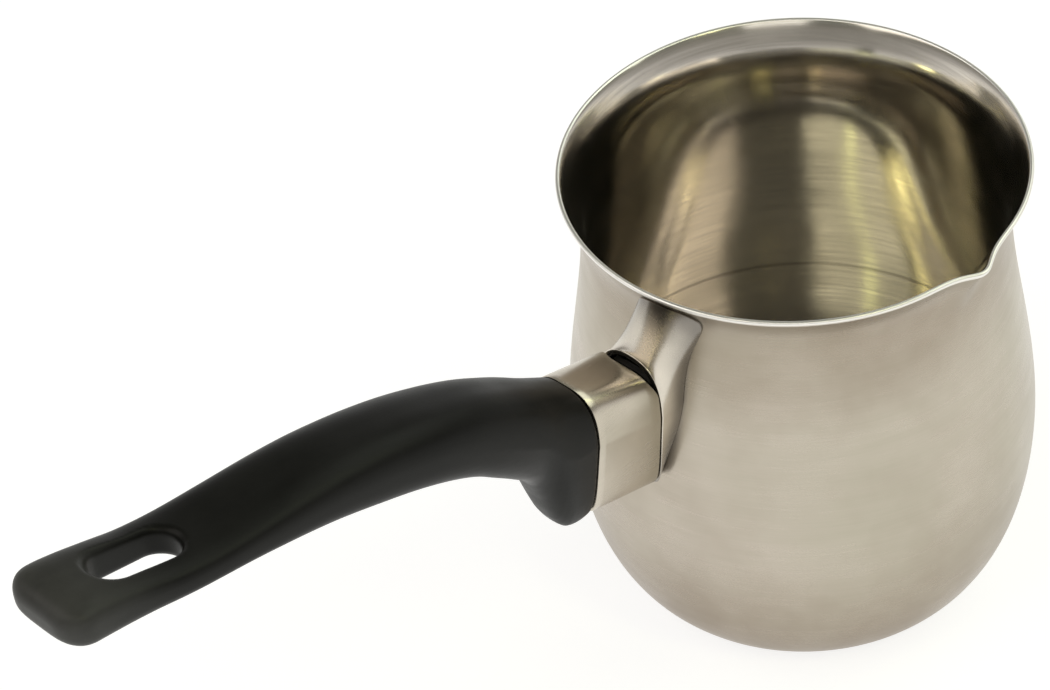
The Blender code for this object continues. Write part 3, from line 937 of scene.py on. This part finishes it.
def slot_cutter():
    """Upright slot whose mouths widen where they meet the grip's sloping faces."""
    centre = (SLOT_X0 + SLOT_X1) / 2
    top, bottom = through(GRIP_TOP, centre), through(GRIP_BOTTOM, centre)
    low_mouth = ((-6, 4.0), (0.3, 1.0), (0.8, 0.35), (1.6, 0.0))  # height over the bottom, growth
    levels = [(bottom + rise, grow, SLOT_SLOPE_LOW) for rise, grow in low_mouth]
    edge_z, edge_steps = top - SLOT_EDGE_DEPTH, 8
    for i in range(edge_steps):
        angle = math.radians(90) * i / edge_steps
        rise, grow = SLOT_EDGE_RISE * math.sin(angle), SLOT_EDGE_WIDTH * (1 - math.cos(angle))
        levels.append((edge_z + rise, grow, SLOT_SLOPE_TOP))
    levels.append((top + 6, 5.0, SLOT_SLOPE_TOP))
    rings = [
        [(x, y, z + slope * (x - centre)) for x, y in slot_outline(grow)]
        for z, grow, slope in levels
    ]
    bm = bmesh.new()
    skin(bm, rings)
    return mesh_object("slot_cutter", bm, [])


def grip(plastic):
    """Grip and tenon in one moulding, with the tongue's socket, the screw's bore and the slot."""
    bm = bmesh.new()
    skin(bm, grip_rings())
    made = mesh_object("grip_fine", bm, [])
    socket = bmesh.new()
    half_w, half_h = TONGUE_HALF_W + GAP, TONGUE_HALF_H + GAP
    rectangle = [(-half_w, -half_h), (half_w, -half_h), (half_w, half_h), (-half_w, half_h)]
    ends = (TENON_X - 2, TONGUE_X1 + GAP)
    skin(socket, [[(x, y, TONGUE_Z + z) for y, z in rectangle] for x in ends])
    cut(made, mesh_object("socket_cutter", socket, []))
    bore = bmesh.new()
    counterbore = [(BORE_FOOT_Z, RECESS_R), (SEAT_Z, RECESS_R)]
    skin(bore, turned(counterbore + [(SEAT_Z, SCREW_HOLE_R), (BORE_TOP_Z, SCREW_HOLE_R)], 64))
    cut(made, mesh_object("bore_cutter", bore, []))
    cut(made, slot_cutter())
    remesh = made.modifiers.new("even", "REMESH")
    remesh.mode = "VOXEL"
    remesh.voxel_size = GRIP_VOXEL * MM
    soften = made.modifiers.new("soften", "SMOOTH")
    soften.factor = GRIP_SMOOTHING
    soften.iterations = GRIP_SMOOTHING_PASSES
    apply_modifiers(made)
    made.data.materials.clear()
    made.data.materials.append(plastic)
    made.data.shade_smooth()
    return made


# ---------------------------------------------------------------- fasteners


def thread_ring(z, bearing_z, count):
    """One ring of the screw's threaded shank: a helical ridge that runs out under the head, on a
    shank that is drawn in at its tip."""
    along = z - bearing_z
    run_out = rising(along, 1.6, 2.8)
    point = 0.5 * rising(z, SCREW_TIP_Z - 1.0, SCREW_TIP_Z)
    ring = []
    for i in range(count):
        turn = (along / THREAD_PITCH - i / count) % 1.0
        valley = 1 - abs(2 * turn - 1)
        radius = SCREW_R - THREAD_DEPTH * valley * run_out - point
        angle = 2 * math.pi * i / count
        ring.append((SCREW_X + radius * math.cos(angle), radius * math.sin(angle), z))
    return ring


def handle_screw(surface):
    """Pan-head cross-recess screw, M4. Its head faces down."""
    bearing_z = SCREW_HEAD_Z + HEAD_H
    count = 32
    dome, dome_steps, dome_h, dome_w = [], 8, 1.5, 2.0
    for i in range(dome_steps + 1):
        angle = math.radians(90) * i / dome_steps
        z = SCREW_HEAD_Z + dome_h * (1 - math.cos(angle))
        dome.append((z, HEAD_R - dome_w * (1 - math.sin(angle))))
    edge = ((0.25, 0.0), (0.08, 0.06), (0.0, 0.2))  # short of the bearing face, and inset
    dome += [(bearing_z - short, HEAD_R - inset) for short, inset in edge]
    rings = turned(dome, count)
    steps = round((SCREW_TIP_Z - bearing_z) / THREAD_PITCH * 8)
    for k in range(steps + 1):
        z = bearing_z + (SCREW_TIP_Z - bearing_z) * k / steps
        rings.append(thread_ring(z, bearing_z, count))
    bm = bmesh.new()
    skin(bm, rings)
    screw = mesh_object("handle_screw_fine", bm, [surface], smooth_angle=50)
    recess = bmesh.new()
    arm, half = CROSS_ARM, CROSS_HALF_W
    levels = ((SCREW_HEAD_Z - 0.4, 1.05), (SCREW_HEAD_Z + 1.9, 0.72))  # the cross narrows inwards
    corners = [
        (arm, half), (half, half), (half, arm), (-half, arm), (-half, half), (-arm, half),
        (-arm, -half), (-half, -half), (-half, -arm), (half, -arm), (half, -half), (arm, -half),
    ]
    skin(recess, [[(SCREW_X + x * size, y * size, z) for x, y in corners] for z, size in levels])
    cut(screw, mesh_object("recess_cutter", recess, [surface]))
    return screw


def washer(name, outer_r, z0, z1, start, stop, count, rise, surface):
    """Ring of bevelled rectangular section between two angles, or a whole ring if they meet. rise
    is how far its ends stand apart along the screw."""
    whole = abs(stop - start - 2 * math.pi) < 1e-6
    inner_r, soft = WASHER_HOLE_R, 0.15
    corners = [
        (z0, inner_r + soft), (z0 + soft, inner_r), (z1 - soft, inner_r), (z1, inner_r + soft),
        (z1, outer_r - soft), (z1 - soft, outer_r), (z0 + soft, outer_r), (z0, outer_r - soft),
    ]
    rings = []
    for i in range(count if whole else count + 1):
        angle = start + (stop - start) * i / count
        lean = rise * (i / count - 0.5)
        c, s = math.cos(angle), math.sin(angle)
        rings.append([(SCREW_X + r * c, r * s, z + lean) for z, r in corners])
    bm = bmesh.new()
    skin(bm, rings, close=whole)
    return mesh_object(name, bm, [surface])


# ---------------------------------------------------------------- studio

# Colour of the world light by the sine of the height above the horizon
ROOM_LIGHT = (
    (0.0, (1.0, 0.99, 0.98)), (0.07, (0.9, 0.89, 0.88)), (0.16, (0.46, 0.45, 0.44)),
    (0.34, (0.24, 0.23, 0.21)), (0.5, (0.25, 0.255, 0.23)), (0.74, (0.25, 0.255, 0.23)),
    (0.88, (0.11, 0.11, 0.105)), (1.0, (0.10, 0.10, 0.095)),
)
LIGHT_DISTANCE = 1.6  # metres
# Name, azimuth, elevation, width and height in degrees, radiance, colour
LIGHTS = (
    ("right_box", -27, 45, 72, 32, 1.65, (1.0, 0.95, 0.90)),
    ("left_box", 157, 45, 92, 32, 1.45, (0.95, 1.0, 0.88)),
    ("window", 84, 48, 14, 18, 6.0, (1.0, 1.0, 0.55)),
    ("lamp", 3, 56, 10, 12, 4.0, (1.0, 0.95, 0.6)),
    ("trees", 150, 44, 12, 18, 1.8, (0.85, 1.0, 0.40)),
    ("front_box", 48, 41, 34, 32, 1.2, (1.0, 0.98, 0.94)),
)


def studio():
    """Plain pale floor, partly self-lit so that the object's shadow stays faint."""
    mesh = bpy.data.meshes.new("floor")
    half, low = 6.0, -0.0003  # metres
    mesh.from_pydata(
        [(-half, -half, low), (half, -half, low), (half, half, low), (-half, half, low)],
        [],
        [(0, 1, 2, 3)],
    )
    floor = bpy.data.objects.new("floor", mesh)
    bpy.context.scene.collection.objects.link(floor)
    made, _, shader = new_material("pale_floor")
    shader.inputs["Base Color"].default_value = (0.42, 0.42, 0.42, 1.0)
    shader.inputs["Roughness"].default_value = 0.9
    shader.inputs["Specular IOR Level"].default_value = 0.0
    shader.inputs["Emission Color"].default_value = (1.0, 1.0, 1.0, 1.0)
    shader.inputs["Emission Strength"].default_value = 0.77
    mesh.materials.append(made)


def room():
    """World light by height: bright at and below the horizon, dim overhead."""
    world = bpy.data.worlds.new("room")
    bpy.context.scene.world = world
    world.use_nodes = True
    tree = world.node_tree
    direction = node(tree, "ShaderNodeTexCoord").outputs["Generated"]
    height = node(tree, "ShaderNodeSeparateXYZ", {"Vector": direction}).outputs["Z"]
    ramp = node(tree, "ShaderNodeValToRGB", {"Fac": height})
    elements = ramp.color_ramp.elements
    for element, (position, colour) in zip(elements, (ROOM_LIGHT[0], ROOM_LIGHT[-1])):
        element.position, element.color = position, (*colour, 1.0)
    for position, colour in ROOM_LIGHT[1:-1]:
        elements.new(position).color = (*colour, 1.0)
    background = tree.nodes["Background"]
    tree.links.new(ramp.outputs["Color"], background.inputs["Color"])
    background.inputs["Strength"].default_value = 1.0


def softbox(name, azimuth, elevation, wide, high, radiance, colour):
    """Rectangular light aimed at the pot's mouth, with its place and size as degrees seen from
    there. Azimuth is counted anticlockwise from +X, and radiance is how bright the box looks."""
    a, e = math.radians(azimuth), math.radians(elevation)
    light = bpy.data.lights.new(name, "AREA")
    light.shape = "RECTANGLE"
    light.size = 2 * LIGHT_DISTANCE * math.tan(math.radians(wide / 2)) * math.cos(e)
    light.size_y = 2 * LIGHT_DISTANCE * math.tan(math.radians(high / 2))
    light.energy = radiance * math.pi * light.size * light.size_y
    light.color = colour
    made = bpy.data.objects.new(name, light)
    bpy.context.scene.collection.objects.link(made)
    away = Vector((math.cos(a) * math.cos(e), math.sin(a) * math.cos(e), math.sin(e)))
    right = Vector((-math.sin(a), math.cos(a), 0.0))
    facing = Matrix((right, away.cross(right), away)).transposed().to_4x4()
    target = Vector((0.0, 0.0, HEIGHT * MM))
    made.matrix_world = Matrix.Translation(target + away * LIGHT_DISTANCE) @ facing


def camera():
    """The photo's camera. Its azimuth is counted anticlockwise from -Y."""
    data = bpy.data.cameras.new("camera")
    data.sensor_width = CAMERA_SENSOR
    data.lens = CAMERA_LENS
    data.clip_start, data.clip_end = 0.05, 50.0
    made = bpy.data.objects.new("camera", data)
    bpy.context.scene.collection.objects.link(made)
    a, e = CAMERA_AZIMUTH, CAMERA_ELEVATION
    back = Vector((math.sin(a) * math.cos(e), -math.cos(a) * math.cos(e), math.sin(e)))
    right = Vector((math.cos(a), math.sin(a), 0.0))
    up = back.cross(right)
    level = Matrix((right, up, back)).transposed()
    roll = Matrix.Rotation(CAMERA_ROLL, 3, "Z")
    place_at = Matrix.Translation(CAMERA_AIM + back * CAMERA_DISTANCE)
    made.matrix_world = place_at @ (level @ roll).to_4x4()
    bpy.context.scene.camera = made


# ---------------------------------------------------------------- assembly


def place(piece, cad_node):
    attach(piece, "root")
    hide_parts(cad_node)


def main():
    outside = steel(
        "satin_outside", light=(0.545, 0.487, 0.419), dark=(0.478, 0.442, 0.358),
        roughness=0.30, spread=0.05, anisotropy=0.6, lines="turned", grain=(3.0, 3.0, 2.4),
        # the colour of the painted shade on the lower belly and the neck
        bump=0.04, painted_shade=(0.31, 0.255, 0.195),
    )
    inside = steel(
        "spun_inside", light=(0.795, 0.748, 0.665), dark=(0.59, 0.555, 0.492),
        roughness=0.15, spread=0.06, anisotropy=0.6, lines="turned", grain=(2.0, 2.0, 1.5),
        bump=0.16, draw_line=DRAW_LINE_Z, streaks=0.75,
    )
    # the rim is a lighter copy of the steel: a painted highlight for its bright edge
    rim = steel(
        "rim_painted_highlight", light=(0.92, 0.90, 0.86), dark=(0.87, 0.85, 0.81),
        roughness=0.38, spread=0.04, anisotropy=0.0, lines="turned", grain=(3.0, 3.0, 2.4),
        bump=0.03,
    )
    bracket_steel = steel(
        "polished_bracket", light=(0.74, 0.68, 0.60), dark=(0.66, 0.61, 0.53),
        roughness=0.26, spread=0.04, anisotropy=0.3, lines=ALONG_X, grain=(1.0, 2.2, 2.2),
        # the colour of the painted dark reflection near the body
        bump=0.0, painted_shade=(0.17, 0.155, 0.14),
    )
    ferrule_steel = steel(
        "satin_ferrule", light=(0.61, 0.555, 0.475), dark=(0.54, 0.49, 0.41),
        roughness=0.25, spread=0.04, anisotropy=0.4, lines=ALONG_X, grain=(1.0, 2.4, 2.4),
        # the colour of the painted shade at the bracket end
        bump=0.006, painted_shade=(0.33, 0.315, 0.245),
    )
    zinc = plain_steel(
        "zinc_plated", light=(0.68, 0.68, 0.67), dark=(0.58, 0.58, 0.56), roughness=0.34, grain=3.0
    )
    mill = plain_steel(
        "mill_plate", light=(0.52, 0.51, 0.49), dark=(0.40, 0.39, 0.37), roughness=0.42, grain=2.0
    )
    place(pot_body(outside, inside, rim), "pot_body")
    place(handle_bracket(bracket_steel), "handle_bracket")
    place(ferrule(ferrule_steel), "ferrule")
    place(grip(phenolic()), "grip")
    place(handle_screw(zinc), "handle_screw")
    flat = washer(
        "flat_washer_fine", FLAT_WASHER_R, WASHER_Z0, WASHER_Z1, 0, 2 * math.pi, 64, 0.0, zinc
    )
    place(flat, "flat_washer")
    start, stop = math.radians(8), math.radians(8 + 344)  # the split is 16 degrees wide
    half_rise = SPRING_WASHER_RISE / 2
    split = washer(
        "spring_washer_fine", SPRING_WASHER_R, SPRING_Z0 + half_rise, SPRING_Z1 - half_rise,
        start, stop, 60, SPRING_WASHER_RISE, zinc,
    )
    place(split, "spring_washer")
    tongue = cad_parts["bracket_tongue"]
    for holder in tongue.material_slots:
        holder.material = mill
    camera()
    studio()
    room()
    for light in LIGHTS:
        softbox(*light)
    bpy.context.scene.view_settings.view_transform = "Standard"
    bpy.context.scene.view_settings.look = "None"


main()
